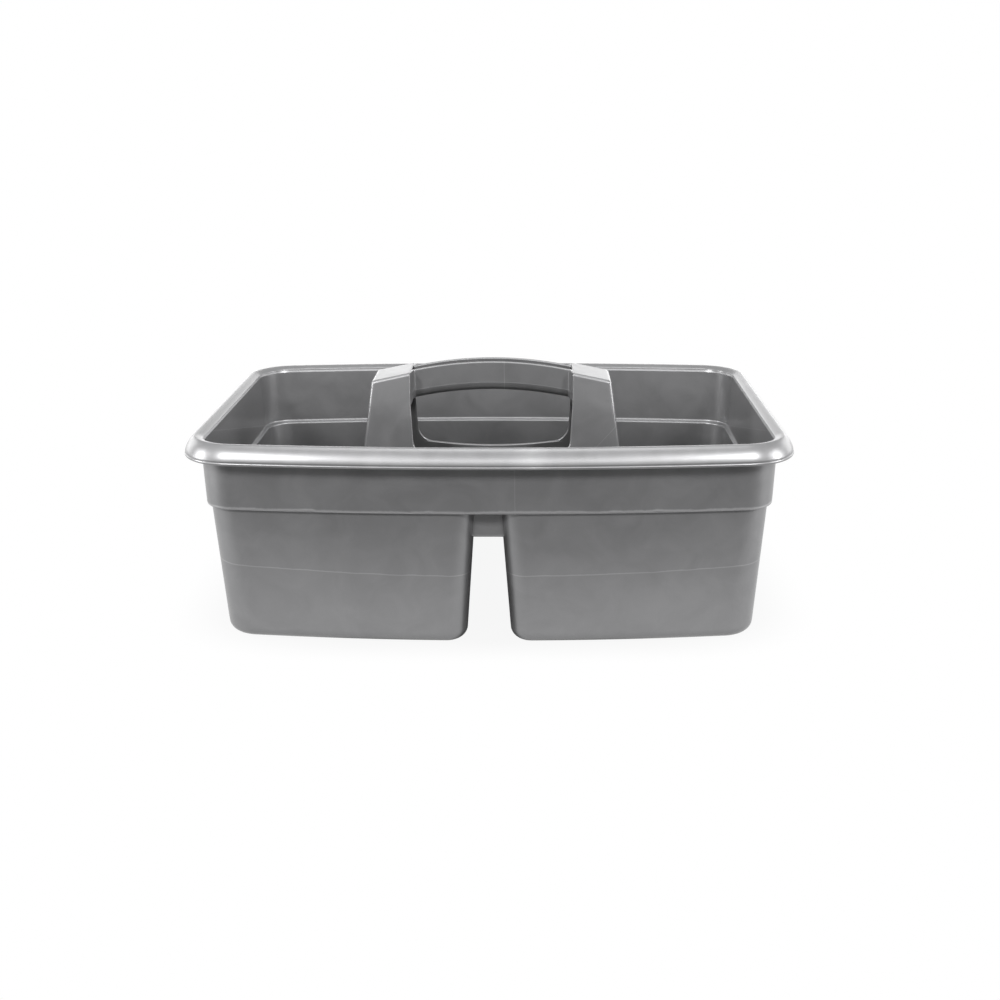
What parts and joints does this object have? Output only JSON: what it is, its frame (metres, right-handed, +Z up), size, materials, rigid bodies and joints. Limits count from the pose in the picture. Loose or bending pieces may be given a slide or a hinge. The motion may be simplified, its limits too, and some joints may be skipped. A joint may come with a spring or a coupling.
{
  "type": "carry caddy",
  "caption": "Moulded plastic carry caddy: an oblong tub with a rolled rim, deep wells either side of a slot, and a central handle tower with a hand hole under an arched grip.",
  "frame": {"origin": "middle of the footprint, on the surface that the wells stand on", "axes": "+X along the length, +Y to the rear, +Z up"},
  "size_m": [0.406, 0.283, 0.1721],
  "materials": {
    "moulded_plastic": "silver-grey pigmented polypropylene, moulded semi-gloss"
  },
  "bodies": {
    "root": {"rolled_rim": "moulded_plastic", "upper_band": "moulded_plastic", "left_well": "moulded_plastic", "right_well": "moulded_plastic", "front_bridge": "moulded_plastic", "rear_bridge": "moulded_plastic", "left_post": "moulded_plastic", "right_post": "moulded_plastic", "front_panel": "moulded_plastic", "rear_panel": "moulded_plastic", "handle_grip": "moulded_plastic"}
  },
  "joints": []
}
